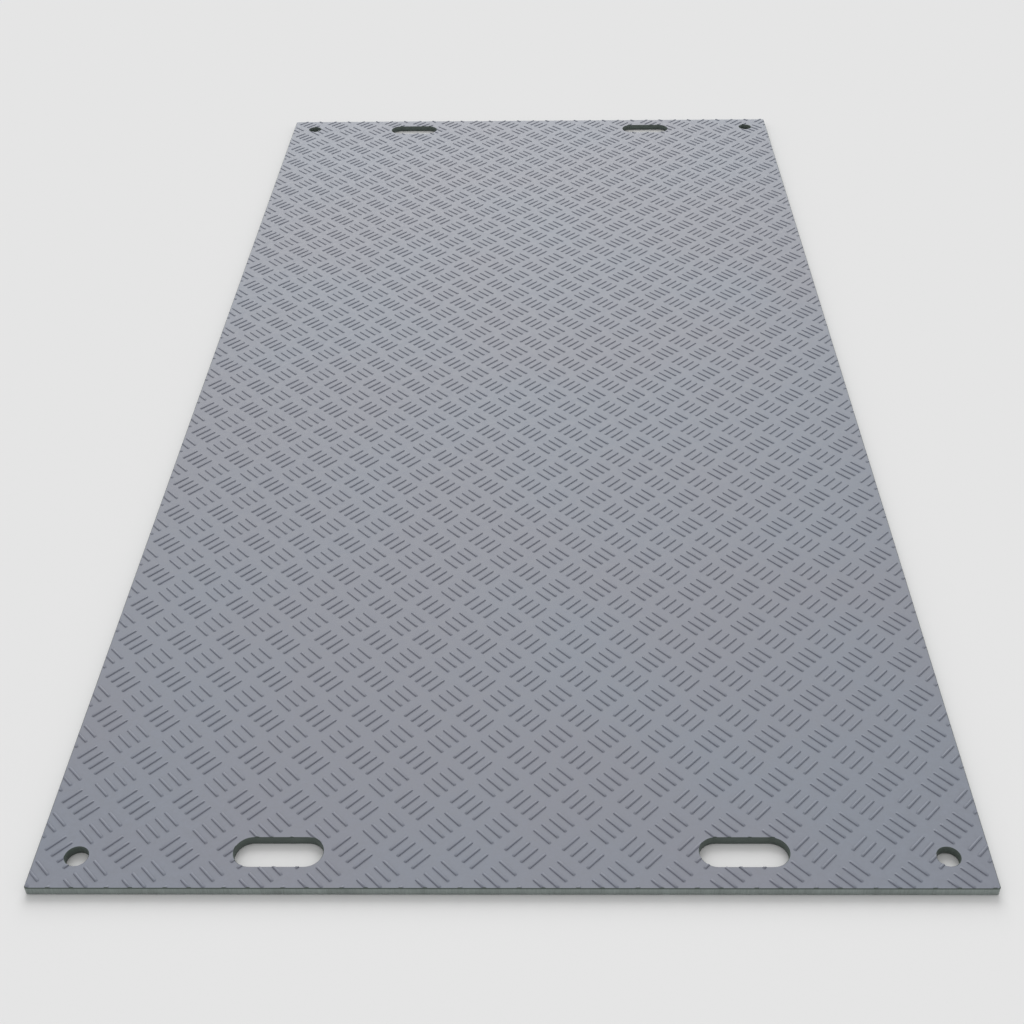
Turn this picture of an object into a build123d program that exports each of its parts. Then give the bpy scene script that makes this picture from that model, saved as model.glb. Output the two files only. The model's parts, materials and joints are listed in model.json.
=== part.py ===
"""A ground protection mat: one moulded sheet of grey polyethylene with a raised tread on top.

Millimetres. The mat lies flat, its length along Y, its width along X and its tread up, along +Z.
The origin is the middle of its underside. Front is -Y and left is -X.
"""

import os
from math import atan2, degrees

from build123d import *

# The board under the tread
mat_width = 1220.0
mat_length = 2440.0
board_thickness = 12.7
corner_radius = 4.0
edge_break = 1.0  # bevel along the outer edges

# Corner holes, for a tie, a pin or a joiner plate
hole_diameter = 30.0
hole_from_side = 54.0  # hole's centre to the long edge
hole_from_end = 50.0  # hole's centre to the short edge

# Hand slots, two at each end
slot_length = 115.0
slot_width = 46.0
slot_from_side = 312.0  # slot's centre to the long edge
slot_from_end = 57.0  # slot's centre to the short edge
rim_break = 0.8  # bevel round the rims of the slots and holes

# Tread: groups of bars that lean left and right by turns, like a basket weave
tread_height = 1.5
bars_per_group = 4
bar_spacing = 14.0  # from bar to bar across a group
bar_length = 32.0
bar_width = 4.2  # at the bar's foot
end_slope = 2.4  # how far each end leans in between its foot and the crown
group_pitch_x = 73.9  # from a group to the next that leans the same way, across the mat
group_pitch_y = 78.7  # the same, along the mat
first_group_x = 0.0  # middle of the first left-leaning groups, from the left edge
first_group_y = 17.3  # middle of the first left-leaning groups, from the front edge
tread_band = 70.0  # how far in from the edges the bars are built

crown = board_thickness + tread_height
lean = degrees(atan2(group_pitch_y, group_pitch_x))


def bar():
    """One bar of the tread, a ridge with sloped ends that stands on the board and runs along X."""
    half_length = bar_length / 2
    half_width = bar_width / 2
    with BuildPart() as solid:
        with BuildSketch(Plane.YZ):
            Polygon((-half_width, 0), (half_width, 0), (0, tread_height), align=None)
        extrude(amount=half_length, both=True)
        with BuildSketch(Plane.XZ):
            with BuildLine():
                Polyline(
                    (-half_length, 0),
                    (half_length, 0),
                    (half_length - end_slope, tread_height),
                    (end_slope - half_length, tread_height),
                    close=True,
                )
            make_face()
        extrude(amount=half_width, both=True, mode=Mode.INTERSECT)
    return Pos(0, 0, board_thickness) * solid.part


def group_places():
    """Where the tread's groups stand. Right-leaning groups are half a pitch on, both ways."""
    columns = int(mat_width / group_pitch_x) + 2
    rows = int(mat_length / group_pitch_y) + 2
    for half, turn in ((0.0, 180 - lean), (0.5, lean)):
        for column in range(-1, columns):
            for row in range(-1, rows):
                x = first_group_x + (column + half) * group_pitch_x
                y = first_group_y + (row + half) * group_pitch_y
                inward = min(x, y, mat_width - x, mat_length - y)
                if -bar_length < inward < tread_band:
                    yield Location((x - mat_width / 2, y - mat_length / 2, 0), (0, 0, turn))


def bevelled_block():
    """The outline that is kept, up to the crowns. Its upper bevel runs on through the tread."""
    with BuildPart() as block:
        with BuildSketch():
            RectangleRounded(mat_width, mat_length, corner_radius)
        extrude(amount=crown)
        faces = block.faces().sort_by(Axis.Z)
        chamfer(faces[-1].edges(), edge_break + tread_height)
        chamfer(faces[0].edges(), edge_break)
    return block.part


def openings(shape, from_side, from_end):
    """Cutters through the mat, this far in from its four corners, that flare at both faces."""
    flare = rim_break + tread_height
    cutter = extrude(shape, crown)
    cutter += extrude(Plane.XY.offset(board_thickness - rim_break) * shape, flare, taper=-45)
    cutter += extrude(Plane.XY.offset(rim_break) * shape, -rim_break, taper=-45)
    x = mat_width / 2 - from_side
    y = mat_length / 2 - from_end
    return [Pos(i * x, j * y, 0) * cutter for i in (-1, 1) for j in (-1, 1)]


def tread(block, cutters):
    """The bars of every group that is built, cut back where they meet the outline or an opening."""
    one = bar()
    steps = [(k - (bars_per_group - 1) / 2) * bar_spacing for k in range(bars_per_group)]
    margin = corner_radius + edge_break + tread_height
    inner_x = mat_width / 2 - margin
    inner_y = mat_length / 2 - margin
    reaches = [(cutter, cutter.bounding_box()) for cutter in cutters]
    for place in group_places():
        for step in steps:
            piece = place * Location((0, step, 0)) * one
            box = piece.bounding_box()
            if max(-box.min.X, box.max.X) > inner_x or max(-box.min.Y, box.max.Y) > inner_y:
                piece &= block
            for cutter, reach in reaches:
                if piece and box.overlaps(reach):
                    piece -= cutter
            if piece:
                yield from piece.solids()


def mat():
    """The board, bevelled and cut through, with its tread joined to it."""
    block = bevelled_block()
    cutters = openings(SlotOverall(slot_length, slot_width), slot_from_side, slot_from_end)
    cutters += openings(Circle(hole_diameter / 2), hole_from_side, hole_from_end)
    slab = Pos(0, 0, board_thickness / 2) * Box(mat_width, mat_length, board_thickness)
    board = (block & slab) - cutters
    return board.fuse(*tread(block, cutters), glue=True)


os.makedirs("parts", exist_ok=True)
export_step(mat(), "parts/mat.step")
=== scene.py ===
# %% [markdown]
# # A ground protection mat
#
# The mat is a sheet of grey polyethylene, 2.44 m long and 1.22 m wide, that lies on turf or paving so that
# vehicles and people can cross it. It is moulded in one piece, sawn to size, and routed through in eight
# places: a round hole at each corner, and two hand slots near each end. Everything the eye reads on it is
# the tread, thousands of small bars in groups of four that lean left and right by turns, like a basket
# weave. The lesson builds that tread as one real, closed mesh, then gives it the two finishes of such a
# sheet: the skin from the mould and the cut edge.

# %% Load the frame
import json
import math

import bpy
import numpy as np
from mathutils import Matrix, Vector
from mathutils.geometry import delaunay_2d_cdt


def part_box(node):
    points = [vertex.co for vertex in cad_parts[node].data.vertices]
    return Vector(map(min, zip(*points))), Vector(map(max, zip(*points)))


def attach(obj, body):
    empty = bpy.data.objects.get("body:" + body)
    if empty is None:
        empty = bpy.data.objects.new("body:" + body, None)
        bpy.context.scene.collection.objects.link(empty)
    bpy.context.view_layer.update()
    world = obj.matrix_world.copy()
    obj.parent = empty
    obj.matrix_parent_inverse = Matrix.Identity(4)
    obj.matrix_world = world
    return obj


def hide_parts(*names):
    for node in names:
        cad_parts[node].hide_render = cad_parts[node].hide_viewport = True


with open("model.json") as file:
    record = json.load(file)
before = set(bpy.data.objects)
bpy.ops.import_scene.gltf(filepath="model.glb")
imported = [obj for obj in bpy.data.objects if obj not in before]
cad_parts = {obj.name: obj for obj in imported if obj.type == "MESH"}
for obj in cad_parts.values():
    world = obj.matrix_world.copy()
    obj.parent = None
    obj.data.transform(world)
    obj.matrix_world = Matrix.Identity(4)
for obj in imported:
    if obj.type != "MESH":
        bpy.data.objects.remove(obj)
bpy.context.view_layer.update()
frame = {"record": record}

# %% [markdown]
# ## The sizes that everything hangs on
#
# The mat's length, width and height come from the frame, and so do its holes and slots, because the record
# states them as mounts. What the frame doesn't say, such as the tread's own sizes, is a named value here.

# %% Sizes from the frame
MM = 0.001
low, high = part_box("mat")
WIDTH, LENGTH, CROWN = high[0] - low[0], high[1] - low[1], high[2] - low[2]
TREAD_HEIGHT = 1.5 * MM
BOARD = CROWN - TREAD_HEIGHT
CORNER_RADIUS = 4 * MM
EDGE_BREAK = 1.0 * MM
RIM_BREAK = 0.8 * MM
mounts = {mount["name"]: mount["dims"] for mount in frame["record"]["mounts"]}
board_mm, tread_mm = BOARD / MM, TREAD_HEIGHT / MM
print(f"mat {WIDTH:.3f} by {LENGTH:.3f} m, board {board_mm:.1f} mm under {tread_mm:.1f} mm of tread")

# %% [markdown]
# ## The camera
#
# The photograph looks down on the mat from just behind its front edge, at about the height of a person's
# chest. The camera's place, tilt and focal length were worked out from the four corners of the top face.
# The lens is held nearly straight: a small sideways shift does the rest of the framing.

# %% Camera
PHOTO_SIZE = 1024
FOCAL_PIXELS = 1409.4
CENTRE_PIXEL_X = 532
CAMERA_PLACE = (0.0519, -2.3216, 1.4583)
CAMERA_YAW, CAMERA_PITCH, CAMERA_ROLL = -0.959, 37.723, 0.748  # degrees: to the right, down, clockwise

camera_data = bpy.data.cameras.new("camera")
camera_data.sensor_width = 36
camera_data.lens = camera_data.sensor_width * FOCAL_PIXELS / PHOTO_SIZE
camera_data.shift_x = (PHOTO_SIZE / 2 - CENTRE_PIXEL_X) / PHOTO_SIZE
camera = bpy.data.objects.new("camera", camera_data)
turn = Matrix.Rotation(-math.radians(CAMERA_YAW), 4, "Z")
tilt = Matrix.Rotation(math.radians(90 - CAMERA_PITCH), 4, "X")
roll = Matrix.Rotation(-math.radians(CAMERA_ROLL), 4, "Z")
camera.matrix_world = Matrix.Translation(CAMERA_PLACE) @ turn @ tilt @ roll
bpy.context.scene.collection.objects.link(camera)
bpy.context.scene.camera = camera
print(f"camera: {camera_data.lens:.1f} mm lens, {CAMERA_PITCH:.0f} degrees down")

# %% [markdown]
# ## Outlines with round corners
#
# The mat, a hand slot and a corner hole are one family of shapes: a straight core with a round band about
# it. The mat's core is nearly the whole sheet, a slot's core is a line, and a hole's core is a point. So one
# small class can give the points of any outline, and say which way is straight out from it, which the
# bevels need. A bevel is cut into the material, so it shrinks the mat's outline and widens an opening.

# %% The outline class
ARC_STEPS = 10  # straight pieces to a quarter turn


class Outline:
    """A rounded shape in plan, with a bevel along its edge. side is 1 for the mat and -1 for an opening."""

    def __init__(self, centre, core, radius, bevel, side):
        self.centre = np.array(centre)
        self.core = np.array(core)
        self.radius = radius
        self.bevel = bevel
        self.side = side

    def points(self):
        """The outline at the board's top face, inside the bevel, in order and with no point twice."""
        radius = self.radius - self.side * self.bevel
        turns = np.radians(np.arange(4 * ARC_STEPS + 4) // (ARC_STEPS + 1) * 90
                           + np.tile(np.linspace(0, 90, ARC_STEPS + 1), 4))
        corner = np.repeat([(1, 1), (-1, 1), (-1, -1), (1, -1)], ARC_STEPS + 1, axis=0)
        ring = self.centre + corner * self.core + radius * np.c_[np.cos(turns), np.sin(turns)]
        apart = np.linalg.norm(ring - np.roll(ring, 1, axis=0), axis=1) > 1e-7
        return ring[apart]

    def outward(self, points):
        """Distance from the core, and the direction away from it, at each point."""
        away = points - self.centre
        away = away - np.clip(away, -self.core, self.core)
        distance = np.linalg.norm(away, axis=1)
        return distance, away / np.maximum(distance, 1e-12)[:, None]


# %% The mat's outline and its eight openings
def at_four_places(dims, core, radius):
    """Openings at the corners of the rectangle that a mount's dimensions give."""
    x, y = dims["spacing_x_mm"] * MM / 2, dims["spacing_y_mm"] * MM / 2
    return [Outline((i * x, j * y), core, radius, RIM_BREAK, -1) for i in (-1, 1) for j in (-1, 1)]


hole_dims, slot_dims = mounts["corner_holes"], mounts["hand_slots"]
hole_radius = hole_dims["hole_r_mm"] * MM
slot_radius = slot_dims["hole_r_mm"] * MM
slot_core = slot_dims["slot_length_mm"] * MM / 2 - slot_radius
mat_core = (WIDTH / 2 - CORNER_RADIUS, LENGTH / 2 - CORNER_RADIUS)

outlines = [Outline((0, 0), mat_core, CORNER_RADIUS, EDGE_BREAK, 1)]
outlines += at_four_places(slot_dims, (slot_core, 0), slot_radius)
outlines += at_four_places(hole_dims, (0, 0), hole_radius)
print(len(outlines) - 1, "openings through the mat")

# %% [markdown]
# ## The tread's pattern
#
# Four bars make a group, and the groups stand on a lattice. At the lattice's own points they lean left, and
# half a pitch further on, both ways, they lean right. The sheet was moulded larger and then sawn, so the
# pattern runs on past the outline, and the saw cuts bars and even whole groups in two. At the left edge it
# runs down the middle of a column of groups.
#
# A bar is drawn as a long octagon. What stands on it is given by one rule: the height of a point depends only
# on how far it is inside that octagon. It climbs steeply over the flank, then gently to the crown, so the
# bars have crisp feet and rounded backs. The rule works for any point, also where the saw or the router cuts
# through a bar, and that is what lets the whole top face be made in one go.

# %% Sizes of the tread
BARS_PER_GROUP = 4
BAR_SPACING = 14 * MM
BAR_LENGTH, BAR_WIDTH = 32 * MM, 4.2 * MM
BAR_END_WIDTH = 2.6 * MM
CORNER_ANGLE = math.radians(45)  # the way that the octagon's corner sides face, from the bar's own direction
END_RAMP, CORNER_RAMP = 4.0, 2.4  # how much gentler the bar's ends and corners rise than its flanks
FLANK = 0.6 * MM  # how far in the flank ends
FLANK_HEIGHT = 1.2 * MM
PITCH_X, PITCH_Y = 73.9 * MM, 78.7 * MM
FIRST_X, FIRST_Y = -WIDTH / 2, -LENGTH / 2 + 17.3 * MM
LEAN = math.atan2(PITCH_Y, PITCH_X)
FAMILIES = ((0.0, math.pi - LEAN), (0.5, LEAN))  # share of a pitch to the first group, and which way bars run

# an octagon's three kinds of side: which way each faces, how far out it is, and how far it draws in for each
# millimetre that the bar rises over the flank
half_length, half_width = BAR_LENGTH / 2, BAR_WIDTH / 2
cos_corner, sin_corner = math.cos(CORNER_ANGLE), math.sin(CORNER_ANGLE)
corner_reach = half_length * cos_corner + BAR_END_WIDTH / 2 * sin_corner
SIDES = (
    (1, 0, half_length, END_RAMP),
    (cos_corner, sin_corner, corner_reach, CORNER_RAMP),
    (0, 1, half_width, 1),
)


def rotated(points, angle):
    c, s = math.cos(angle), math.sin(angle)
    return points @ np.array([(c, s), (-s, c)])


def inside_bar(points):
    """How far each point, given along and across a bar, lies inside the bar's octagon."""
    along, across = np.abs(points).T
    return np.min([(reach - along * x - across * y) / ramp for x, y, reach, ramp in SIDES], axis=0)


def tread_height(points):
    """The tread's height above the board at each point of the mat, in plan."""
    height = np.zeros(len(points))
    for share, angle in FAMILIES:
        pitch = np.array((PITCH_X, PITCH_Y))
        start = np.array((FIRST_X, FIRST_Y)) + share * pitch
        group = start + np.round((points - start) / pitch) * pitch
        local = rotated(points - group, -angle)
        last = (BARS_PER_GROUP - 1) / 2
        bar = np.clip(np.round(local[:, 1] / BAR_SPACING + last), 0, 2 * last) - last
        local[:, 1] -= bar * BAR_SPACING
        inward = np.clip(inside_bar(local), 0, half_width)
        here = np.interp(inward, (0, FLANK, half_width), (0, FLANK_HEIGHT, TREAD_HEIGHT))
        height = np.maximum(height, here)
    return height


# %% The rings of one bar
def octagon(inward):
    """The line on the bar where it is this far inside."""
    length, reach, width = [reach - ramp * inward for _, _, reach, ramp in SIDES]
    beside_end = (length, (reach - length * cos_corner) / sin_corner)
    beside_flank = ((reach - width * sin_corner) / cos_corner, width)
    quarter = [beside_end, beside_flank]
    ring = quarter + [(-x, y) for x, y in reversed(quarter)]
    return np.array(ring + [(-x, -y) for x, y in ring])


ridge_reach = min((reach - ramp * half_width) / x for x, _, reach, ramp in SIDES if x)
ridge = np.array([(-ridge_reach, 0), (ridge_reach, 0)])
bar_lines = [(octagon(0), True), (octagon(FLANK), True), (ridge, False)]


def bar_places():
    """Middle and direction of every bar that reaches the mat."""
    for share, angle in FAMILIES:
        across = np.array((-math.sin(angle), math.cos(angle)))
        for column in range(-1, math.ceil(WIDTH / PITCH_X) + 1):
            for row in range(-1, math.ceil(LENGTH / PITCH_Y) + 1):
                group = np.array((FIRST_X + (column + share) * PITCH_X, FIRST_Y + (row + share) * PITCH_Y))
                for k in range(BARS_PER_GROUP):
                    middle = group + across * (k - (BARS_PER_GROUP - 1) / 2) * BAR_SPACING
                    past = np.abs(middle) - np.array((WIDTH, LENGTH)) / 2
                    if past.max() < half_length:
                        yield middle, angle


# %% [markdown]
# ## The top face, in one triangulation
#
# Thousands of bars could be copied by an array and cut by booleans, but a boolean leaves long thin faces and
# can fail on an edge that only grazes a bar. A constrained triangulation is surer. It takes every line of the
# pattern and every outline in plan, adds a point wherever two of them cross, and fills the rest with
# triangles. Each triangle says which outlines it lies in, so the ones outside the mat or in an opening are
# simply left out. Then each point is lifted by the height rule.

# %% Triangulate the plan
class Plan:
    """Points and lines in plan, collected for a triangulation."""

    def __init__(self):
        self.points, self.lines, self.loops = [], [], []

    def add(self, points, closed=True, loop=False):
        first, count = len(self.points), len(points)
        self.points += [Vector((float(x), float(y))) for x, y in points]
        order = list(range(first, first + count))
        self.lines += list(zip(order, order[1:]))
        if closed:
            self.lines.append((order[-1], order[0]))
        if loop:
            self.loops.append(order)

    def triangles(self):
        """The points, which added point each is (or -1), and the triangles inside the first loop alone."""
        made = delaunay_2d_cdt(self.points, self.lines, self.loops, 0, 1e-7)
        points, faces, origins, inside = made[0], made[2], made[3], made[5]
        kept = [face for face, loops in zip(faces, inside) if list(loops) == [0]]
        added = [origin[0] if origin else -1 for origin in origins]
        return np.array([tuple(point) for point in points]), np.array(added), np.array(kept)


plan = Plan()
for outline in outlines:
    plan.add(outline.points(), loop=True)
bars = list(bar_places())
for middle, angle in bars:
    for line, closed in bar_lines:
        plan.add(middle + rotated(line, angle), closed)
top_plan, _, top_faces = plan.triangles()
print(len(bars), "bars,", len(top_faces), "triangles in the top face")

# %% [markdown]
# ## From a face to a closed mat
#
# The top face's free edges are the mat's own edge and the rims of its openings. Each one grows a wall: a
# bevel, a straight drop, and a second bevel to the underside. The underside is one more triangulation of the
# same edges, with a coarse grid of points so that its triangles stay compact. The result is one closed mesh.

# %% The rims and how far the bevels carry them
def free_edges(faces):
    """Edges that only one triangle uses, each in that triangle's own direction."""
    edges = np.concatenate([faces[:, [0, 1]], faces[:, [1, 2]], faces[:, [2, 0]]])
    _, first, count = np.unique(np.sort(edges, axis=1), axis=0, return_index=True, return_counts=True)
    return edges[first[count == 1]]


def bevel_steps(points):
    """The sideways step over the bevel, at points on the rims of the top face."""
    best = np.full(len(points), np.inf)
    steps = np.zeros((len(points), 2))
    for outline in outlines:
        distance, away = outline.outward(points)
        error = np.abs(distance - (outline.radius - outline.side * outline.bevel))
        closer = error < best
        best[closer] = error[closer]
        steps[closer] = away[closer] * outline.side * outline.bevel
    return steps


rim_edges = free_edges(top_faces)
rim = np.unique(rim_edges)
rim_edges = np.searchsorted(rim, rim_edges)
rim_plan = top_plan[rim]
rim_steps = bevel_steps(rim_plan)
print(len(rim), "points round the edge and the openings")

# %% The underside
GRID = 61 * MM


def loops_of(edges):
    """Directed edges, joined end to end into closed loops."""
    after = dict(edges.tolist())
    loops = []
    while after:
        start, point = after.popitem()
        loop = [start]
        while point != start:
            loop.append(point)
            point = after.pop(point)
        loops.append(loop)
    return loops


def signed_area(points):
    x, y = points.T
    return float(np.sum(x * np.roll(y, -1) - y * np.roll(x, -1)) / 2)


under = Plan()
in_under = []
for loop in sorted(loops_of(rim_edges), key=lambda loop: -abs(signed_area(rim_plan[loop]))):
    loop = loop if signed_area(rim_plan[loop]) > 0 else loop[::-1]
    under.add(rim_plan[loop], loop=True)
    in_under += loop
for x in np.arange(GRID / 2, WIDTH, GRID) - WIDTH / 2:
    for y in np.arange(GRID / 2, LENGTH, GRID) - LENGTH / 2:
        under.add([(x, y)], closed=False)
under_plan, under_added, under_faces = under.triangles()
rim_in_under = np.full(len(rim), -1)
for place, added in enumerate(under_added):
    if 0 <= added < len(in_under):
        rim_in_under[in_under[added]] = place
print(len(under_faces), "triangles in the underside;", int((rim_in_under < 0).sum()), "rim points unmatched")

# %% One closed mesh
def stacked(plan_points, heights):
    return np.c_[plan_points, np.broadcast_to(heights, len(plan_points))]


bevels = np.linalg.norm(rim_steps, axis=1)
top_height = tread_height(top_plan)
rings = [
    stacked(top_plan, BOARD + top_height),
    stacked(rim_plan + rim_steps, BOARD - bevels),
    stacked(rim_plan + rim_steps, bevels),
    stacked(under_plan, 0.0),
]
starts = np.cumsum([0] + [len(ring) for ring in rings])
levels = [rim, starts[1] + np.arange(len(rim)), starts[2] + np.arange(len(rim)), starts[3] + rim_in_under]
a, b = rim_edges.T
walls = [np.c_[above[b], above[a], below[a], below[b]] for above, below in zip(levels, levels[1:])]
faces = top_faces.tolist() + [face for wall in walls for face in wall.tolist()]
faces += (under_faces[:, ::-1] + starts[3]).tolist()

used = np.unique(np.concatenate([np.ravel(face) for face in faces]))
points = np.concatenate(rings)[used]
faces = [np.searchsorted(used, face).tolist() for face in faces]
mesh = bpy.data.meshes.new("treaded_mat")
mesh.from_pydata(points.tolist(), [], faces)
wall_count = sum(len(wall) for wall in walls)
is_wall = np.zeros(len(faces), int)
is_wall[len(top_faces):len(top_faces) + wall_count] = 1
mesh.polygons.foreach_set("material_index", is_wall)
mesh.set_sharp_from_angle(angle=math.radians(60))
smooth = np.ones(len(faces), bool)
smooth[:len(top_faces)] = top_height[top_faces].max(axis=1) > 0.01 * MM
smooth[len(top_faces) + wall_count:] = False
mesh.polygons.foreach_set("use_smooth", smooth)
mat = bpy.data.objects.new("treaded_mat", mesh)
bpy.context.scene.collection.objects.link(mat)
problems = mesh.validate(verbose=False)
print(len(points), "points,", len(faces), "faces, problems found:", problems)

# %% [markdown]
# ## Where the tread and the openings are painted dark
#
# A bar's flanks hold less light than its back: they are steep, and they face each other. Light alone gives
# part of that. The rest is painted shade: a shade value that the mesh carries at the corners of its faces,
# from 1 at a bar's foot to 0 at its shoulder, which darkens the colour. Stored at corners, it stops at the
# foot line and doesn't spill over the board. The walls of the slots and holes carry painted shade too, for
# the shade inside them. The upper bevel all round carries a little of the value, which darkens that edge.

# %% The shade value
# darkens the upper bevel all round, towards the cut edge's dark colour
BEVEL_SHADE = 0.9
# painted shade on the drop and lower bevel round the slots and holes, for the shade inside them
OPENING_PAINTED_SHADE = 0.8
STEEP = math.cos(math.radians(50))
GENTLE = math.cos(math.radians(32))


def upright(points, triangles):
    """The upward part of each triangle's normal: 1 where it is level."""
    p, q, r = (points[triangles[:, i]] for i in range(3))
    normals = np.cross(q - p, r - p)
    return normals[:, 2] / np.maximum(np.linalg.norm(normals, axis=1), 1e-15)


level = upright(rings[0], top_faces)
steepness = np.interp(level, (STEEP, GENTLE), (1, 0))
# painted shade on the steep flanks: 1 at a bar's foot, fading to 0 at its shoulder
foot = np.clip(1 - top_height[top_faces] / FLANK_HEIGHT, 0, 1) * steepness[:, None]
# the walls round the openings, away from the mat's edge, get painted shade
inside_mat = np.abs(rim_plan[a]) < np.array((WIDTH, LENGTH)) / 2 - 20 * MM
routed = inside_mat.all(axis=1) * OPENING_PAINTED_SHADE
wall_shade = [np.full(len(a), BEVEL_SHADE), routed, routed]
shade = np.zeros(len(mesh.loops))
shade[:foot.size] = foot.ravel()
shade[foot.size:foot.size + 12 * len(a)] = np.repeat(np.concatenate(wall_shade), 4)
attribute = mesh.attributes.new("shade", "FLOAT", "CORNER")
attribute.data.foreach_set("value", shade)
print((steepness > 0).sum(), "steep triangles on the flanks,", (routed > 0).sum(), "steps round the openings")

# %% [markdown]
# ## Helpers for the finishes
#
# Colours are written as they look on a screen, in hex, and one function turns them into the linear values
# that the shader works with. One more function adds a node, sets it and links it.

# %% Colour and node helpers
def linear(hex_colour):
    """An sRGB colour such as 8A8D92 as a linear one."""
    parts = [int(hex_colour[i:i + 2], 16) / 255 for i in (0, 2, 4)]
    return tuple(c / 12.92 if c <= 0.04045 else ((c + 0.055) / 1.055) ** 2.4 for c in parts) + (1.0,)


def add(tree, kind, inputs=(), **settings):
    """Adds a node. inputs gives, for a socket's name or number, a value or another node's output."""
    made = tree.nodes.new("ShaderNode" + kind)
    for name, value in settings.items():
        setattr(made, name, value)
    for socket, value in dict(inputs).items():
        if isinstance(value, bpy.types.NodeSocket):
            tree.links.new(value, made.inputs[socket])
        else:
            made.inputs[socket].default_value = value
    return made


def new_material(name):
    """An empty material, its node tree and its shader."""
    material = bpy.data.materials.new(name)
    material.use_nodes = True
    return material, material.node_tree, material.node_tree.nodes["Principled BSDF"]


# %% [markdown]
# ## Moulded polyethylene
#
# The sheet is pressed from recycled high-density polyethylene, in a mid grey with a touch of blue. Such a
# sheet is never one flat grey: the melt leaves soft clouds of colour, wider than a spread hand, and finer
# mottling where regrind and fresh resin meet. The mould's faces are sand-blasted, so the skin is a fine
# satin grain, with a broad, weak sheen. The clouds and mottling are noise in the mat's own coordinates, so
# they stay put in every view.

# %% Moulded skin
POLYETHYLENE_IOR = 1.54


def moulded_polyethylene():
    material, tree, shader = new_material("moulded polyethylene")
    place = add(tree, "TexCoord").outputs["Object"]
    # clouds about 400 mm wide, from a faintly violet grey to a faintly green one
    clouds = add(tree, "TexNoise", {"Vector": place, "Scale": 1 / 0.4, "Detail": 2.0, "Roughness": 0.5})
    tint = add(tree, "ValToRGB", {"Fac": clouds.outputs["Fac"]})
    ramp = tint.color_ramp.elements
    ramp[0].position, ramp[0].color = 0.4, linear("757883")
    ramp[1].position, ramp[1].color = 0.62, linear("747A86")
    # mottling about 12 mm wide, up to a twelfth lighter or darker
    mottle = add(tree, "TexNoise", {"Vector": place, "Scale": 1 / 0.012, "Detail": 4.0, "Roughness": 0.65})
    spread = add(tree, "MapRange", {"Value": mottle.outputs["Fac"], "From Min": 0.3, "From Max": 0.7,
                                    "To Min": 0.92, "To Max": 1.08})
    grey = add(tree, "VectorMath", {0: tint.outputs["Color"], "Scale": spread.outputs["Result"]},
               operation="SCALE")
    # grain of the blasted mould: about 0.4 mm on the real skin, drawn at 1.6 mm so that it shows
    grain = add(tree, "TexNoise", {"Vector": place, "Scale": 1 / 0.0016, "Detail": 2.0, "Roughness": 0.6})
    # painted shade: the shade value mixes the skin towards a dark violet grey on the bars' flanks
    dark = add(tree, "Attribute", attribute_name="shade").outputs["Fac"]
    colour = add(tree, "Mix", {0: dark, 6: grey.outputs["Vector"], 7: linear("5D5E6D")}, data_type="RGBA")
    tree.links.new(colour.outputs[2], shader.inputs["Base Color"])
    rough = add(tree, "MapRange", {"Value": mottle.outputs["Fac"], "From Min": 0.3, "From Max": 0.7,
                                   "To Min": 0.46, "To Max": 0.56})
    tree.links.new(rough.outputs["Result"], shader.inputs["Roughness"])
    bump = add(tree, "Bump", {"Height": grain.outputs["Fac"], "Strength": 0.5, "Distance": 0.00012})
    tree.links.new(bump.outputs["Normal"], shader.inputs["Normal"])
    shader.inputs["IOR"].default_value = POLYETHYLENE_IOR
    return material


# %% [markdown]
# ## Sawn and routed polyethylene
#
# A saw cut the sheet's edges and a router its openings, and both leave the core of the sheet bare. It is a
# shade darker and greener than the skin, and drawn into fine lines by the teeth, along the cut.

# %% Cut edge
def cut_polyethylene():
    material, tree, shader = new_material("sawn and routed polyethylene")
    place = add(tree, "TexCoord").outputs["Object"]
    # tooth marks: about 1.5 mm from one to the next along the cut, and nearly upright
    along = add(tree, "Mapping", {"Vector": place, "Scale": (1 / 0.0015, 1 / 0.0015, 1 / 0.02)})
    marks = add(tree, "TexNoise", {"Vector": along.outputs["Vector"], "Scale": 1.0, "Detail": 2.0})
    # uneven melt in the core, in patches about 30 mm wide
    patches = add(tree, "TexNoise", {"Vector": place, "Scale": 1 / 0.03, "Detail": 3.0, "Roughness": 0.6})
    blend = add(tree, "Math", {0: marks.outputs["Fac"], 1: patches.outputs["Fac"]}, operation="ADD")
    mean = add(tree, "Math", {0: blend.outputs[0], 1: 0.5}, operation="MULTIPLY")
    grey = add(tree, "ValToRGB", {"Fac": mean.outputs[0]})
    ramp = grey.color_ramp.elements
    ramp[0].position, ramp[0].color = 0.34, linear("717976")
    ramp[1].position, ramp[1].color = 0.66, linear("8A9390")
    # painted shade: the shade value mixes the cut core towards a dark green grey on the walls of the
    # openings; it also darkens the upper bevel all round
    dark = add(tree, "Attribute", attribute_name="shade").outputs["Fac"]
    colour = add(tree, "Mix", {0: dark, 6: grey.outputs["Color"], 7: linear("3A463F")}, data_type="RGBA")
    tree.links.new(colour.outputs[2], shader.inputs["Base Color"])
    bump = add(tree, "Bump", {"Height": marks.outputs["Fac"], "Strength": 0.6, "Distance": 0.0002})
    tree.links.new(bump.outputs["Normal"], shader.inputs["Normal"])
    rough = add(tree, "MapRange", {"Value": marks.outputs["Fac"], "From Min": 0.3, "From Max": 0.7,
                                   "To Min": 0.5, "To Max": 0.66})
    tree.links.new(rough.outputs["Result"], shader.inputs["Roughness"])
    shader.inputs["IOR"].default_value = POLYETHYLENE_IOR
    return material


mesh.materials.append(moulded_polyethylene())
mesh.materials.append(cut_polyethylene())
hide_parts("mat")
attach(mat, "root")
print("finishes:", [material.name for material in mesh.materials])

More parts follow.
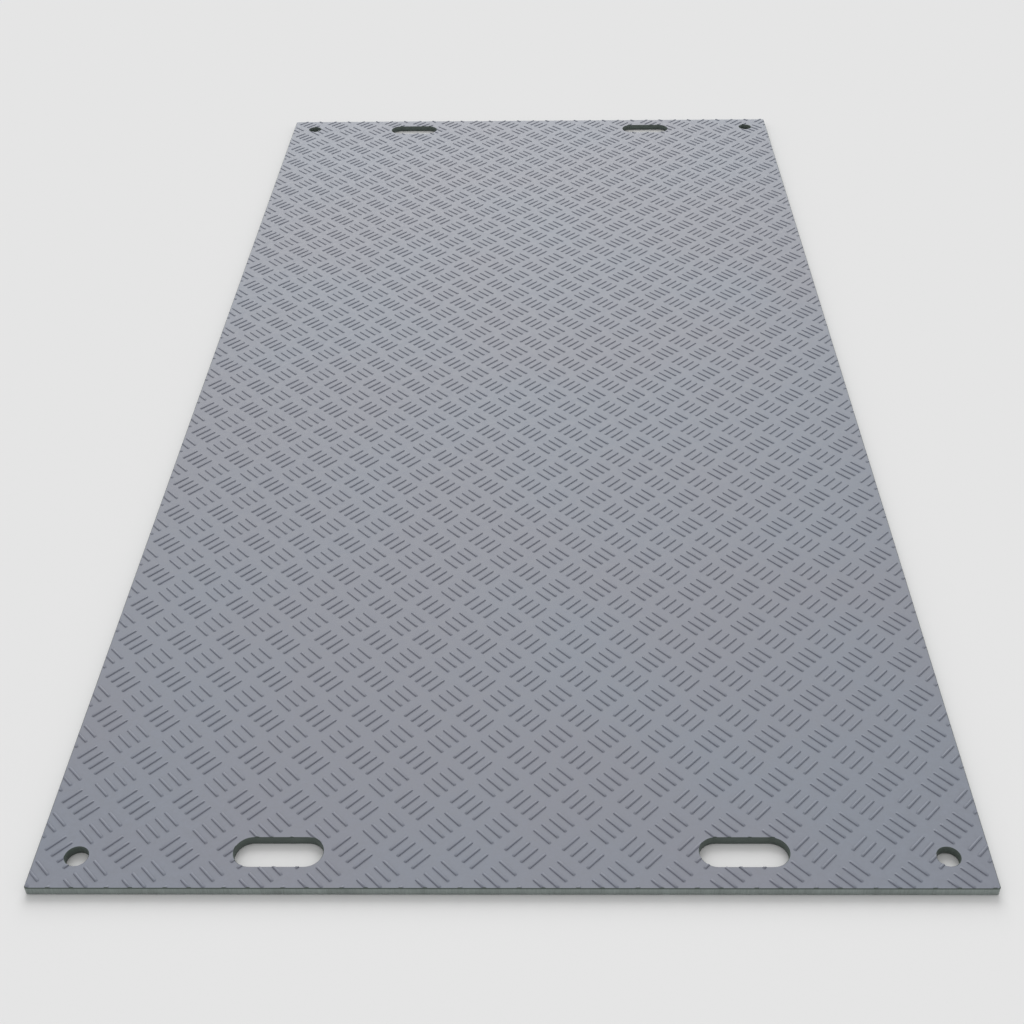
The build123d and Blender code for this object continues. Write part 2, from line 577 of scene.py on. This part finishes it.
# %% [markdown]
# ## Floor and light
#
# The mat lies on a plain pale floor that runs on to the same grey as the backdrop. Most of the light comes
# from all round, and a broad, soft lamp behind the far end adds the rest. That leaves the side of each bar
# that faces us in shade, and lays a narrow shadow along the front edge. Together they add up to a level of 1,
# at which a colour renders about as it is written.

# %% Floor
BACKDROP = linear("E5E5E5")
FLOOR_SIZE = 60

floor_mesh = bpy.data.meshes.new("floor")
half = FLOOR_SIZE / 2
corners = [(-half, -half, 0), (half, -half, 0), (half, half, 0), (-half, half, 0)]
floor_mesh.from_pydata(corners, [], [(0, 1, 2, 3)])
floor = bpy.data.objects.new("floor", floor_mesh)
floor.location.z = -0.0005
bpy.context.scene.collection.objects.link(floor)
paper, paper_tree, paper_shader = new_material("pale paper floor")
paper_shader.inputs["Base Color"].default_value = BACKDROP
paper_shader.inputs["Roughness"].default_value = 1.0
paper_shader.inputs["Specular IOR Level"].default_value = 0.0
floor_mesh.materials.append(paper)

# %% World and lamp
SKY_LEVEL = 0.7
LAMP_ELEVATION = math.radians(34)
LAMP_TURN = math.radians(3)  # to the left, seen from the camera
LAMP_LEVEL = 1 - SKY_LEVEL

world = bpy.data.worlds.new("world")
world.use_nodes = True
bpy.context.scene.world = world
tree = world.node_tree
path = add(tree, "LightPath")
seen_by = ("Camera", "Glossy", "Transmission")
camera_ray, glossy_ray, through_ray = [path.outputs[f"Is {kind} Ray"] for kind in seen_by]
seen = add(tree, "Math", {0: camera_ray, 1: glossy_ray}, operation="MAXIMUM")
seen = add(tree, "Math", {0: seen.outputs[0], 1: through_ray}, operation="MAXIMUM")
sky = (SKY_LEVEL, SKY_LEVEL, SKY_LEVEL, 1)
shown = add(tree, "Mix", {0: seen.outputs[0], 6: sky, 7: BACKDROP}, data_type="RGBA")
tree.links.new(shown.outputs[2], tree.nodes["Background"].inputs["Color"])

lamp_data = bpy.data.lights.new("lamp behind the far end", "SUN")
lamp_data.energy = LAMP_LEVEL * math.pi / math.sin(LAMP_ELEVATION)
lamp_data.angle = 0.8
lamp = bpy.data.objects.new("lamp behind the far end", lamp_data)
lamp.rotation_euler = (-(math.pi / 2 - LAMP_ELEVATION), 0, LAMP_TURN)
bpy.context.scene.collection.objects.link(lamp)
bpy.context.scene.view_settings.view_transform = "Standard"
print(f"light level {SKY_LEVEL} from all round and {LAMP_LEVEL:.1f} from the lamp")
